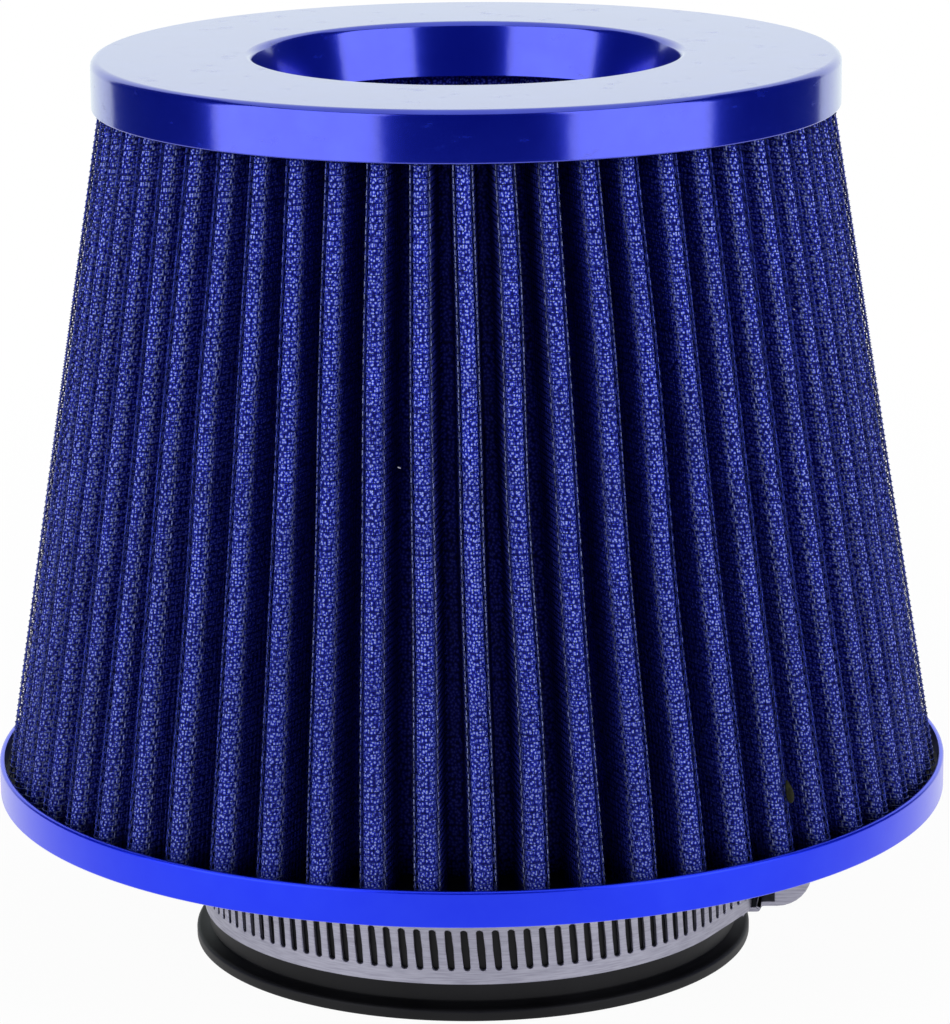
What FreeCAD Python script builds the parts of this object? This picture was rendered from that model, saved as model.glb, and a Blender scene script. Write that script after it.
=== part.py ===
import FreeCAD, Part
import math
import os
import Sketcher

# Conical pleated air filter with an open funnel top, standing on its rubber neck.
# The filter's axis is Z, the neck's mouth is at Z 0 and the clamp's screw lies beside it on the +X side.

# Driving sizes in millimetres, degrees or whole counts.
SIZES = {
    # rubber neck and base plate
    "bore_radius": 38.0,
    "neck_wall": 4.35,
    "neck_lip_overhang": 2.05,
    "neck_lip_height": 1.9,
    "neck_height": 25.6,
    "base_thickness": 2.8,
    # blue band round the base
    "ring_radius": 75.0,
    "ring_sheet": 0.8,
    "ring_height": 5.5,
    # pleated cloth
    "pleat_count": 56,
    "pleat_depth": 15.0,
    "pleat_base_width": 3.8,
    "pleat_top_width": 2.9,
    "pleat_cloth": 0.8,
    "pleat_tip_clearance": 0.35,
    # blue top cap with its funnel mouth
    "overall_height": 141.8,
    "cap_radius": 57.7,
    "cap_sheet": 0.8,
    "cap_skirt": 7.75,
    "cap_edge_ease": 1.2,
    "mouth_radius": 33.1,
    "funnel_depth": 8.6,
    "funnel_taper": 2.1,
    "potting_thickness": 5.2,
    # inverted inner cone
    "inner_pleat_count": 24,
    "inner_pleat_depth": 5.0,
    "inner_pleat_width": 2.6,
    "inner_cone_low_radius": 21.0,
    "inner_cone_length": 55.0,
    "inner_cone_clearance": 0.6,
    "inner_cap_thickness": 3.0,
    "inner_cap_overhang": 0.8,
    # hose clamp round the neck
    "band_bottom": 5.5,
    "band_width": 10.8,
    "band_sheet": 0.7,
    "slot_length": 6.4,
    "slot_width": 1.2,
    "slot_lean": 0.55,
    "slot_count": 56,
    "band_flat_count": 112,
    "saddle_flat_count": 4,
    "rise_flat_count": 5,
    "saddle_thickness": 1.8,
    "tail_gap": 0.1,
    "tail_flat_count": 11,
    "tail_slot_count": 4,
    "housing_length": 15.0,
    "housing_radius": 5.4,
    "housing_sheet": 0.7,
    "housing_side_clearance": 0.25,
    "housing_top_clearance": 0.2,
    "end_tab_reach": 0.5,
    "worm_crest_radius": 3.3,
    "worm_clearance": 0.3,
    "screw_head_flats": 7.0,
    "screw_head_height": 4.6,
    "screw_slot_width": 1.2,
    "screw_slot_depth": 1.8,
}

doc = FreeCAD.newDocument("air_filter")
sheet = doc.addObject("Spreadsheet::Sheet", "sizes")
for row, (alias, value) in enumerate(SIZES.items(), start=1):
    sheet.set(f"A{row}", alias)
    sheet.set(f"B{row}", str(value))
    sheet.setAlias(f"B{row}", alias)
doc.recompute()

FULL_TURN = 360.0
CREST_FLAT_COUNT = 3
INNER_CREST_FLAT_COUNT = 2
HIDDEN_CREST_FLAT_COUNT = 1

# Heights and radii that several pieces share, as expressions of the driving sizes.
NECK_RADIUS = "(sizes.bore_radius + sizes.neck_wall)"
LIP_RADIUS = f"({NECK_RADIUS} + sizes.neck_lip_overhang)"
BASE_FLOOR = "(sizes.neck_height + sizes.base_thickness)"
RING_INSIDE = "(sizes.ring_radius - sizes.ring_sheet)"
CAP_INSIDE = "(sizes.cap_radius - sizes.cap_sheet)"
CAP_UNDERSIDE = "(sizes.overall_height - sizes.cap_sheet)"
FUNNEL_FOOT = "(sizes.overall_height - sizes.funnel_depth)"
POTTING_FACE = f"({CAP_UNDERSIDE} - sizes.potting_thickness)"
FUNNEL_OUTSIDE = "(sizes.mouth_radius + sizes.cap_sheet)"
FUNNEL_THROAT = "(sizes.mouth_radius - sizes.funnel_taper)"
INNER_CONE_FOOT = f"({POTTING_FACE} - sizes.inner_cone_length)"
BAND_TOP = "(sizes.band_bottom + sizes.band_width)"
BAND_MIDDLE = "(sizes.band_bottom + sizes.band_width / 2)"
SADDLE_ANGLE = "(360 * sizes.saddle_flat_count / sizes.band_flat_count)"
SADDLE_OUTSIDE = f"({NECK_RADIUS} + sizes.saddle_thickness)"
TAIL_INSIDE = f"({SADDLE_OUTSIDE} + sizes.tail_gap)"
TAIL_OUTSIDE = f"({TAIL_INSIDE} + sizes.band_sheet)"
HOUSING_HALF_WIDTH = "(sizes.band_width / 2 + sizes.housing_side_clearance + sizes.housing_sheet)"
SHOULDER_UNDERSIDE = f"({TAIL_OUTSIDE} + sizes.housing_top_clearance)"
SCREW_AXIS = f"({TAIL_OUTSIDE} + sizes.worm_clearance + sizes.worm_crest_radius)"


def size(alias):
    """The value of one driving size."""
    return sheet.get(alias)


def origin_feature(body, role):
    """One of a body's own origin planes or axes."""
    return next(item for item in body.Origin.OriginFeatures if item.Role == role)


def outline_sketch(body, name, outline):
    """A closed outline of straight lines on the XZ plane, each corner held by its two coordinates.

    A height of None puts that corner on the sketch's horizontal axis.
    """
    sketch = body.newObject("Sketcher::SketchObject", name)
    sketch.AttachmentSupport = [(origin_feature(body, "XZ_Plane"), "")]
    sketch.MapMode = "FlatFace"
    corners = len(outline)
    start = [
        FreeCAD.Vector(math.cos(math.tau * k / corners), math.sin(math.tau * k / corners), 0)
        for k in range(corners)
    ]
    for k in range(corners):
        sketch.addGeometry(Part.LineSegment(start[k], start[(k + 1) % corners]), False)
    for k in range(corners):
        sketch.addConstraint(Sketcher.Constraint("Coincident", k, 2, (k + 1) % corners, 1))
    for k, (across, up) in enumerate(outline):
        hold(sketch, "DistanceX", k, start[k].x, across)
        if up is None:
            sketch.addConstraint(Sketcher.Constraint("PointOnObject", k, 1, -1))
        else:
            hold(sketch, "DistanceY", k, start[k].y, up)
    return sketch


def hold(sketch, kind, corner, value, expression):
    """Ties one coordinate of a corner to an expression of the driving sizes."""
    index = sketch.addConstraint(Sketcher.Constraint(kind, -1, 1, corner, 1, value))
    sketch.setExpression(f"Constraints[{index}]", expression)


def turned_body(label, outline):
    """A body with the node's name, made by turning one outline about Z."""
    body = doc.addObject("PartDesign::Body", label)
    sketch = outline_sketch(body, f"{label}_outline", outline)
    turning = body.newObject("PartDesign::Revolution", f"{label}_turning")
    turning.Profile = sketch
    turning.ReferenceAxis = (origin_feature(body, "Z_Axis"), [""])
    turning.Angle = FULL_TURN
    return body


def eased_corner(radius, height, inward, down, ease):
    """The two points of a corner that a flat eases.

    The signs say which way the material lies from the corner, across and up.
    """
    return [
        (radius, f"{height} + {down} * sizes.{ease}"),
        (f"{radius} + {inward} * sizes.{ease}", height),
    ]


def bound(kind, name, **expressions):
    """A primitive whose properties follow expressions of the driving sizes."""
    item = doc.addObject(kind, name)
    for path, expression in expressions.items():
        item.setExpression(path.replace("__", "."), expression)
    return item


def joined(name, items):
    """One solid from several touching ones."""
    union = doc.addObject("Part::MultiFuse", name)
    union.Shapes = items
    return union


def cut(name, base, tool):
    """One solid less another."""
    result = doc.addObject("Part::Cut", name)
    result.Base = base
    result.Tool = tool
    return result


def sector(name, inside, outside, bottom, height, start, sweep):
    """Part of a ring about Z, from a start angle through a sweep."""
    blank = bound(
        "Part::Cylinder",
        f"{name}_blank",
        Radius=outside,
        Height=height,
        Angle=sweep,
        Placement__Base__z=bottom,
    )
    blank.Placement.Rotation = FreeCAD.Rotation(FreeCAD.Vector(0, 0, 1), 1)
    blank.setExpression("Placement.Rotation.Angle", start)
    core = bound(
        "Part::Cylinder",
        f"{name}_core",
        Radius=inside,
        Height=height,
        Placement__Base__z=bottom,
    )
    return cut(name, blank, core)


def along_y(item):
    """Lays a primitive's own axis along +Y."""
    item.Placement.Rotation = FreeCAD.Rotation(FreeCAD.Vector(1, 0, 0), -90)
    return item


# Rubber neck: base plate, straight clamp seat and a square lip at the mouth, moulded in one piece.
def make_neck_flange():
    return turned_body(
        "neck_flange",
        [
            ("sizes.bore_radius", None),
            (LIP_RADIUS, None),
            (LIP_RADIUS, "sizes.neck_lip_height"),
            (NECK_RADIUS, "sizes.neck_lip_height"),
            (NECK_RADIUS, "sizes.neck_height"),
            (RING_INSIDE, "sizes.neck_height"),
            (RING_INSIDE, BASE_FLOOR),
            ("sizes.bore_radius", BASE_FLOOR),
        ],
    )


# Blue band: a straight wall round the base plate.
def make_base_ring():
    ring_top = "sizes.neck_height + sizes.ring_height"
    return turned_body(
        "base_ring",
        [
            (RING_INSIDE, "sizes.neck_height"),
            ("sizes.ring_radius", "sizes.neck_height"),
            ("sizes.ring_radius", ring_top),
            (RING_INSIDE, ring_top),
        ],
    )


# Top cap: skirt, flat ring and tapered funnel of one sheet.
def make_top_cap():
    skirt_foot = "sizes.overall_height - sizes.cap_skirt"
    return turned_body(
        "top_cap",
        [
            (CAP_INSIDE, skirt_foot),
            ("sizes.cap_radius", skirt_foot),
            *eased_corner("sizes.cap_radius", "sizes.overall_height", -1, -1, "cap_edge_ease"),
            ("sizes.mouth_radius", "sizes.overall_height"),
            (FUNNEL_THROAT, FUNNEL_FOOT),
            (f"{FUNNEL_THROAT} + sizes.cap_sheet", FUNNEL_FOOT),
            (FUNNEL_OUTSIDE, CAP_UNDERSIDE),
            (CAP_INSIDE, CAP_UNDERSIDE),
        ],
    )


# Cast ring that seals both packs of pleats to the underside of the cap.
# Its edge and its mouth have one flat for each pleat.
def make_top_potting():
    blank = bound(
        "Part::Prism",
        "potting_blank",
        Polygon="sizes.pleat_count",
        Circumradius=CAP_INSIDE,
        Height="sizes.potting_thickness",
        Placement__Base__z=POTTING_FACE,
    )
    mouth = bound(
        "Part::Prism",
        "potting_mouth",
        Polygon="sizes.inner_pleat_count",
        Circumradius=f"{FUNNEL_OUTSIDE} / cos(180 / sizes.inner_pleat_count)",
        Height="sizes.potting_thickness",
        Placement__Base__z=POTTING_FACE,
    )
    return cut("top_potting", blank, mouth)


def pleat_corners(height, count, tip, depth, width, cloth, inset, crest_flats):
    """The corners of one face of a pleated cloth at one height, in order round the axis.

    Each pleat has parallel sides and a crest of equal flats, and a flat valley joins it to the next one.
    The face lies the inset inside the cloth's outer face.
    """
    half_pitch = math.pi / count
    half = width / 2 - inset
    crest = tip - width / 2
    valley = tip - depth + cloth - inset
    root = (valley - half * math.sin(half_pitch)) / math.cos(half_pitch)
    pleat = [FreeCAD.Vector(root, -half, height)]
    for k in range(crest_flats + 1):
        turn = math.pi * (k / crest_flats - 1 / 2)
        pleat.append(FreeCAD.Vector(crest + half * math.cos(turn), half * math.sin(turn), height))
    pleat.append(FreeCAD.Vector(root, half, height))
    corners = []
    for k in range(count):
        place = FreeCAD.Rotation(FreeCAD.Vector(0, 0, 1), FULL_TURN * k / count)
        corners.extend(place.multVec(corner) for corner in pleat)
    return corners


def closed_wire(corners):
    """A closed wire of straight lines."""
    return Part.makePolygon([*corners, corners[0]])


def pleated_ring(label, count, depth, cloth, crest_flats, foot, head):
    """A pleated cone of cloth between two levels, each a height, a tip radius and a pleat width.

    Each face of the cloth is a row of flats from level to level, and a flat edge closes it at each end.
    """
    flats = []
    edges = [[], []]
    for inset, face_flats in ((0.0, crest_flats), (cloth, HIDDEN_CREST_FLAT_COUNT)):
        low, high = (
            pleat_corners(height, count, tip, depth, width, cloth, inset, face_flats)
            for height, tip, width in (foot, head)
        )
        for k in range(len(low)):
            flats.append(Part.Face(closed_wire([low[k - 1], low[k], high[k], high[k - 1]])))
        edges[0].append(closed_wire(low))
        edges[1].append(closed_wire(high))
    ends = [Part.makeFace(wires, "Part::FaceMakerBullseye") for wires in edges]
    shell = Part.Shell([*flats, *ends])
    shell.sewShape()
    cloth_cone = doc.addObject("Part::Feature", label)
    cloth_cone.Shape = Part.Solid(shell)
    return cloth_cone


# Outer cone of folded cloth, from the base plate up to the potting inside the cap's skirt.
def make_pleated_media():
    base_floor = size("neck_height") + size("base_thickness")
    potting_face = size("overall_height") - size("cap_sheet") - size("potting_thickness")
    base_tip = size("ring_radius") - size("ring_sheet") - size("pleat_tip_clearance")
    top_tip = size("cap_radius") - size("cap_sheet") - size("pleat_tip_clearance")
    return pleated_ring(
        "pleated_media",
        int(size("pleat_count")),
        size("pleat_depth"),
        size("pleat_cloth"),
        CREST_FLAT_COUNT,
        (base_floor, base_tip, size("pleat_base_width")),
        (potting_face, top_tip, size("pleat_top_width")),
    )


# Inverted cone below the funnel, from the potting down to the plug that closes it.
def make_inner_cone():
    potting_face = size("overall_height") - size("cap_sheet") - size("potting_thickness")
    foot = potting_face - size("inner_cone_length")
    top_inside = size("mouth_radius") + size("cap_sheet") + size("inner_cone_clearance")
    return pleated_ring(
        "inner_cone_media",
        int(size("inner_pleat_count")),
        size("inner_pleat_depth"),
        size("pleat_cloth"),
        INNER_CREST_FLAT_COUNT,
        (foot, size("inner_cone_low_radius"), size("inner_pleat_width")),
        (potting_face, top_inside + size("inner_pleat_depth"), size("inner_pleat_width")),
    )


# Plug that closes the inner cone's lower end, with one flat for each pleat.
def make_inner_cone_cap():
    return bound(
        "Part::Prism",
        "inner_cone_cap",
        Polygon="sizes.inner_pleat_count",
        Circumradius="sizes.inner_cone_low_radius + sizes.inner_cap_overhang",
        Height="sizes.inner_cap_thickness",
        Placement__Base__z=f"{INNER_CONE_FOOT} - sizes.inner_cap_thickness",
    )


def flat_bends(radius, first, last):
    """The bends of a strip that lies on a circle in equal flats, from one bend's number to another's."""
    flats = int(size("band_flat_count"))
    corner = FreeCAD.Vector(radius / math.cos(math.pi / flats), 0, size("band_bottom"))
    step = 1 if last > first else -1
    return [
        FreeCAD.Rotation(FreeCAD.Vector(0, 0, 1), FULL_TURN * k / flats).multVec(corner)
        for k in range(first, last + step, step)
    ]


def slot_blades(name, inside, outside, first, count):
    """The cutters of a row of leaning slots between two radii, one in each flat, clockwise from above."""
    middle = size("band_bottom") + size("band_width") / 2
    half_width = size("slot_width") / 2
    half_lean = size("slot_lean") / 2
    half_length = size("slot_length") / 2
    corners = [
        FreeCAD.Vector(inside, half_lean - half_width, middle - half_length),
        FreeCAD.Vector(inside, half_lean + half_width, middle - half_length),
        FreeCAD.Vector(inside, half_width - half_lean, middle + half_length),
        FreeCAD.Vector(inside, -half_width - half_lean, middle + half_length),
    ]
    blade = Part.Face(closed_wire(corners)).extrude(FreeCAD.Vector(outside - inside, 0, 0))
    blades = []
    for k in range(count):
        copy = blade.copy()
        angle = FULL_TURN * (first - k + 1 / 2) / size("band_flat_count")
        copy.rotate(FreeCAD.Vector(), FreeCAD.Vector(0, 0, 1), angle)
        blades.append(copy)
    row = doc.addObject("Part::Feature", name)
    row.Shape = Part.makeCompound(blades)
    return row


# Clamp band: one strip bent round the neck, which leaves it to rise over the saddle and ends in a loose tail.
def make_clamp_band():
    neck = size("bore_radius") + size("neck_wall")
    strip_outside = neck + size("band_sheet")
    tail_inside = neck + size("saddle_thickness") + size("tail_gap")
    tail_outside = tail_inside + size("band_sheet")
    above_strip = (strip_outside + tail_inside) / 2
    above_tail = tail_outside + size("tail_gap")
    flats = int(size("band_flat_count"))
    saddle = int(size("saddle_flat_count"))
    rise = saddle + int(size("rise_flat_count"))
    tail = int(size("tail_flat_count"))
    plan = doc.addObject("Part::Feature", "band_plan")
    plan.Shape = closed_wire(
        [
            *flat_bends(neck, saddle, flats - rise),
            *flat_bends(tail_inside, -saddle, tail),
            *flat_bends(tail_outside, tail, -saddle),
            *flat_bends(strip_outside, flats - rise, saddle),
        ]
    )
    strip = bound("Part::Extrusion", "band_strip", LengthFwd="sizes.band_width")
    strip.Base = plan
    strip.DirMode = "Custom"
    strip.Dir = FreeCAD.Vector(0, 0, 1)
    strip.Solid = True
    strip_slots = slot_blades(
        "strip_slots", size("bore_radius"), above_tail, -saddle - 1, int(size("slot_count"))
    )
    tail_slots = slot_blades("tail_slots", above_strip, above_tail, tail - 2, int(size("tail_slot_count")))
    return cut("clamp_band", cut("band_slotted_strip", strip, strip_slots), tail_slots)


# Saddle: the curved plate between the band's ends, as wide as the housing.
def make_clamp_saddle():
    return sector(
        "clamp_saddle",
        NECK_RADIUS,
        SADDLE_OUTSIDE,
        f"{BAND_MIDDLE} - {HOUSING_HALF_WIDTH}",
        f"2 * {HOUSING_HALF_WIDTH}",
        f"-{SADDLE_ANGLE}",
        f"2 * {SADDLE_ANGLE}",
    )


def housing_solid(name, barrel, half_width, roof, shorter):
    """The housing's outline made solid: a barrel over the screw and shoulders over the band."""
    length = f"(sizes.housing_length - {shorter})"
    start = f"-sizes.housing_length / 2 + {shorter}"
    tube = along_y(
        bound(
            "Part::Cylinder",
            f"{name}_barrel",
            Radius=barrel,
            Height=length,
            Placement__Base__x=SCREW_AXIS,
            Placement__Base__y=start,
            Placement__Base__z=BAND_MIDDLE,
        )
    )
    flanks = bound(
        "Part::Box",
        f"{name}_flanks",
        Length=f"{SCREW_AXIS} - {NECK_RADIUS}",
        Width=length,
        Height=f"2 * {barrel}",
        Placement__Base__x=NECK_RADIUS,
        Placement__Base__y=start,
        Placement__Base__z=f"{BAND_MIDDLE} - {barrel}",
    )
    shoulders = bound(
        "Part::Box",
        f"{name}_shoulders",
        Length=f"{roof} - {NECK_RADIUS} + sizes.neck_wall",
        Width=length,
        Height=f"2 * {half_width}",
        Placement__Base__x=f"{NECK_RADIUS} - sizes.neck_wall",
        Placement__Base__y=start,
        Placement__Base__z=f"{BAND_MIDDLE} - {half_width}",
    )
    return joined(name, [tube, flanks, shoulders])


# Worm housing: bent sheet over the screw, standing on the saddle, with a half-round tab at its blind end.
def make_clamp_housing():
    shell = housing_solid(
        "housing_blank",
        "sizes.housing_radius",
        HOUSING_HALF_WIDTH,
        f"({SHOULDER_UNDERSIDE} + sizes.housing_sheet)",
        "0",
    )
    hollow = housing_solid(
        "housing_hollow",
        "(sizes.housing_radius - sizes.housing_sheet)",
        f"({HOUSING_HALF_WIDTH} - sizes.housing_sheet)",
        SHOULDER_UNDERSIDE,
        "sizes.housing_sheet",
    )
    under_tab = bound(
        "Part::Box",
        "housing_band_way",
        Length=f"{SCREW_AXIS} - {NECK_RADIUS} + sizes.neck_wall - sizes.end_tab_reach",
        Width="2 * sizes.housing_sheet",
        Height=f"2 * ({HOUSING_HALF_WIDTH} - sizes.housing_sheet)",
        Placement__Base__x=f"{NECK_RADIUS} - sizes.neck_wall",
        Placement__Base__y="-sizes.housing_length / 2 - sizes.housing_sheet / 2",
        Placement__Base__z=f"{BAND_MIDDLE} - {HOUSING_HALF_WIDTH} + sizes.housing_sheet",
    )
    seat = bound(
        "Part::Cylinder",
        "housing_seat",
        Radius=SADDLE_OUTSIDE,
        Height=f"{BAND_TOP} + sizes.band_width",
    )
    return cut("clamp_housing", shell, joined("housing_spaces", [hollow, under_tab, seat]))


# Worm screw: a worm as thick as its crests and a hexagon head with a driver slot.
def make_clamp_screw():
    blind_end = "(sizes.housing_sheet - sizes.housing_length / 2 + sizes.worm_clearance)"
    head_start = "(sizes.housing_length / 2 + sizes.worm_clearance)"
    worm = along_y(
        bound(
            "Part::Cylinder",
            "screw_worm",
            Radius="sizes.worm_crest_radius",
            Height=f"{head_start} - {blind_end}",
            Placement__Base__x=SCREW_AXIS,
            Placement__Base__y=blind_end,
            Placement__Base__z=BAND_MIDDLE,
        )
    )
    head = along_y(
        bound(
            "Part::Prism",
            "screw_hexagon",
            Circumradius="sizes.screw_head_flats / sqrt(3)",
            Height="sizes.screw_head_height",
            Placement__Base__x=SCREW_AXIS,
            Placement__Base__y=head_start,
            Placement__Base__z=BAND_MIDDLE,
        )
    )
    slot = bound(
        "Part::Box",
        "screw_driver_slot",
        Length="2 * sizes.screw_head_flats",
        Width="2 * sizes.screw_slot_depth",
        Height="sizes.screw_slot_width",
        Placement__Base__x=f"{SCREW_AXIS} - sizes.screw_head_flats",
        Placement__Base__y=f"{head_start} + sizes.screw_head_height - sizes.screw_slot_depth",
        Placement__Base__z=f"{BAND_MIDDLE} - sizes.screw_slot_width / 2",
    )
    return cut("clamp_screw", joined("screw_blank", [worm, head]), slot)


nodes = [
    make_neck_flange(),
    make_base_ring(),
    make_pleated_media(),
    make_inner_cone(),
    make_inner_cone_cap(),
    make_top_potting(),
    make_top_cap(),
    make_clamp_band(),
    make_clamp_saddle(),
    make_clamp_housing(),
    make_clamp_screw(),
]
doc.recompute()

for item in doc.Objects:
    if "Invalid" in item.State or "Error" in item.State:
        raise RuntimeError(f"{item.Label} failed to build")
for node in nodes:
    if node.Shape.isNull() or not node.Shape.isValid() or not node.Shape.Solids:
        raise RuntimeError(f"{node.Label} has no valid solid")

os.makedirs("parts", exist_ok=True)
for node in nodes:
    node.Shape.exportStep(f"parts/{node.Label}.step")
    print(node.Label, len(node.Shape.Solids), round(node.Shape.Volume, 1), node.Shape.BoundBox)
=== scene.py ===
"""Conical pleated air filter: lacquered cap and base band, netted blue pleats, rubber neck and hose clamp."""

import logging
import math
from dataclasses import dataclass
from enum import Enum
from typing import Any, Callable

import bmesh
import bpy
import numpy as np
from mathutils import Matrix, Vector


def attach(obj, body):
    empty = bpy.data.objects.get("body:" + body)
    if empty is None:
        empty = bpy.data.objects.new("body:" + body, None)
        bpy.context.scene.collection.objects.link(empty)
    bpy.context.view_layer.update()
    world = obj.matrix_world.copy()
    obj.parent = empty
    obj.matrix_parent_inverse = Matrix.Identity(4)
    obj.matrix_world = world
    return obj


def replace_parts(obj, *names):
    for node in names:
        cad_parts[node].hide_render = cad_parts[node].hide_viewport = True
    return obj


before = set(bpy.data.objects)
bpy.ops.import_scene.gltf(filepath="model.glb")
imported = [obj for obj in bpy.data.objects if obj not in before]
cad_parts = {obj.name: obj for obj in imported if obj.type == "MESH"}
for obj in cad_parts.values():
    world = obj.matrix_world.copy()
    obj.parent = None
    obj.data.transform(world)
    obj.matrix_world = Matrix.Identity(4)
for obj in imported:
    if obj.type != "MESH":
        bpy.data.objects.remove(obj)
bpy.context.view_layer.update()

LOG = logging.getLogger("air_filter")
MM = 0.001
IMAGE_SIZE = (950, 1024)
FILTER_BODY = "filter"
SCREW_BODY = "screw"
UP = Vector((0, 0, 1))
ORIGIN = (0, 0, 0)
RIGHT_ANGLE = 90.0
ALL_SMOOTH = 180.0
NEAR_MM = 0.01
ON_RIM_MM = 1e-4
FACING = 0.9
SHARP_BEND = 1.0
SLIGHT_BEND = 0.6
WHITE = "FFFFFF"

Tree = bpy.types.NodeTree
Socket = bpy.types.NodeSocket
Mesh = bmesh.types.BMesh
Piece = bpy.types.Object
Colour = tuple[float, float, float, float]
WirePoint = tuple[Vector, Vector, Vector, float]


def linear(code: str) -> Colour:
    """Turns an sRGB hex colour into linear light.

    Args:
        code: Six hex digits, as in a paint code.

    Returns:
        Linear red, green and blue, and an alpha of 1.
    """
    channels = [int(code[k:k + 2], 16) / 255 for k in (0, 2, 4)]
    light = [c / 12.92 if c <= 0.04045 else ((c + 0.055) / 1.055) ** 2.4 for c in channels]
    return (*light, 1.0)


def add_node(tree: Tree, kind: str, inputs: dict[Any, Any], **settings: Any) -> bpy.types.Node:
    """Adds one node with its settings, values and links.

    Args:
        tree: Node tree that takes the node.
        kind: Blender's name of the node type, without its common start.
        inputs: Value or output socket for each input, by its name or number.
        settings: Properties of the node itself.

    Returns:
        The new node.
    """
    made = tree.nodes.new("ShaderNode" + kind)
    for name, value in settings.items():
        setattr(made, name, value)
    for key, value in inputs.items():
        if isinstance(value, Socket):
            tree.links.new(value, made.inputs[key])
        else:
            made.inputs[key].default_value = value
    return made


def place_of(tree: Tree, kind: str) -> Socket:
    """The piece's own coordinates of a kind, such as Object or UV."""
    return add_node(tree, "TexCoord", {}).outputs[kind]


def noise(tree: Tree, place: Socket, size: float, detail: float) -> Socket:
    """Adds clouds.

    Args:
        tree: Node tree of the material.
        place: Coordinates in metres.
        size: Size of one cloud in millimetres.
        detail: Number of finer layers.

    Returns:
        The clouds' value.
    """
    values = {"Vector": place, "Scale": 1 / (size * MM), "Detail": detail}
    return add_node(tree, "TexNoise", values).outputs["Fac"]


def stretched(tree: Tree, place: Socket, share: float) -> Socket:
    """Coordinates that draw a pattern out level, at a share of its rate in height."""
    return add_node(tree, "Mapping", {"Vector": place, "Scale": (share, share, 1.0)}).outputs["Vector"]


def ramp(tree: Tree, value: Socket, stops: list[tuple[float, str]]) -> Socket:
    """Adds a colour ramp.

    Args:
        tree: Node tree of the material.
        value: Place on the ramp.
        stops: Place and hex colour of each stop, from low to high.

    Returns:
        The colour.
    """
    made = add_node(tree, "ValToRGB", {"Fac": value})
    elements = made.color_ramp.elements
    for _ in range(len(stops) - 2):
        elements.new(0.5)
    for element, (place, code) in zip(elements, stops):
        element.position = place
        element.color = linear(code)
    return made.outputs["Color"]


def spread(tree: Tree, value: Socket, source: tuple[float, float], target: tuple[float, float]) -> Socket:
    """Moves a value from one range to another.

    Args:
        tree: Node tree of the material.
        value: The value.
        source: Range that the value comes from.
        target: Range that it goes to.

    Returns:
        The new value.
    """
    names = ("From Min", "From Max", "To Min", "To Max")
    inputs = {"Value": value, **dict(zip(names, (*source, *target)))}
    return add_node(tree, "MapRange", inputs).outputs["Result"]


def combined(tree: Tree, first: Socket, second: Socket, operation: str) -> Socket:
    """Two values joined by an operation of Blender's Math node."""
    return add_node(tree, "Math", {0: first, 1: second}, operation=operation).outputs["Value"]


def scaled(tree: Tree, colour: Socket, share: Socket) -> Socket:
    """A colour times a share."""
    return add_node(tree, "VectorMath", {0: colour, "Scale": share}, operation="SCALE").outputs["Vector"]


def bump(tree: Tree, height: Socket, strength: float, depth: float, invert: bool = False) -> Socket:
    """Adds fine relief.

    Args:
        tree: Node tree of the material.
        height: Height of the relief, from 0 to 1.
        strength: Share of the relief that shows.
        depth: Depth in millimetres.
        invert: Whether high values lie deep.

    Returns:
        The normal.
    """
    inputs = {"Height": height, "Strength": strength, "Distance": depth * MM}
    return add_node(tree, "Bump", inputs, invert=invert).outputs["Normal"]


def principled(tree: Tree, inputs: dict[str, Any]) -> Socket:
    """The output of a Principled shader with the given inputs."""
    return add_node(tree, "BsdfPrincipled", inputs).outputs["BSDF"]


def crest_share(tree: Tree, reach: float) -> Socket:
    """Finds how far along the cloth a point lies from its pleat's crest.

    Args:
        tree: Node tree of the material.
        reach: Distance in millimetres that counts as 1.

    Returns:
        The distance as a share of the reach.
    """
    across = add_node(tree, "SeparateXYZ", {"Vector": place_of(tree, "UV")})
    away = add_node(tree, "Math", {0: across.outputs["X"]}, operation="ABSOLUTE")
    return spread(tree, away.outputs["Value"], (0.0, reach * MM), (0.0, 1.0))


def blank_material(name: str) -> bpy.types.Material:
    """Makes a material with no nodes.

    Args:
        name: Name of the material.

    Returns:
        The material.
    """
    made = bpy.data.materials.new(name)
    made.use_nodes = True
    made.node_tree.nodes.clear()
    return made


@dataclass(frozen=True)
class Finish:
    """A surface finish, made once as a material of the same name."""

    name: str

    def material(self) -> bpy.types.Material:
        """The finish's material, which is made at its first use.

        Returns:
            The material.
        """
        made = bpy.data.materials.get(self.name)
        if made is None:
            made = blank_material(self.name)
            add_node(made.node_tree, "OutputMaterial", {"Surface": self.shade(made.node_tree)})
        return made

    def shade(self, tree: Tree) -> Socket:
        """Adds the finish's nodes.

        Args:
            tree: Node tree of the material.

        Returns:
            The shader's output.
        """
        raise NotImplementedError


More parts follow.
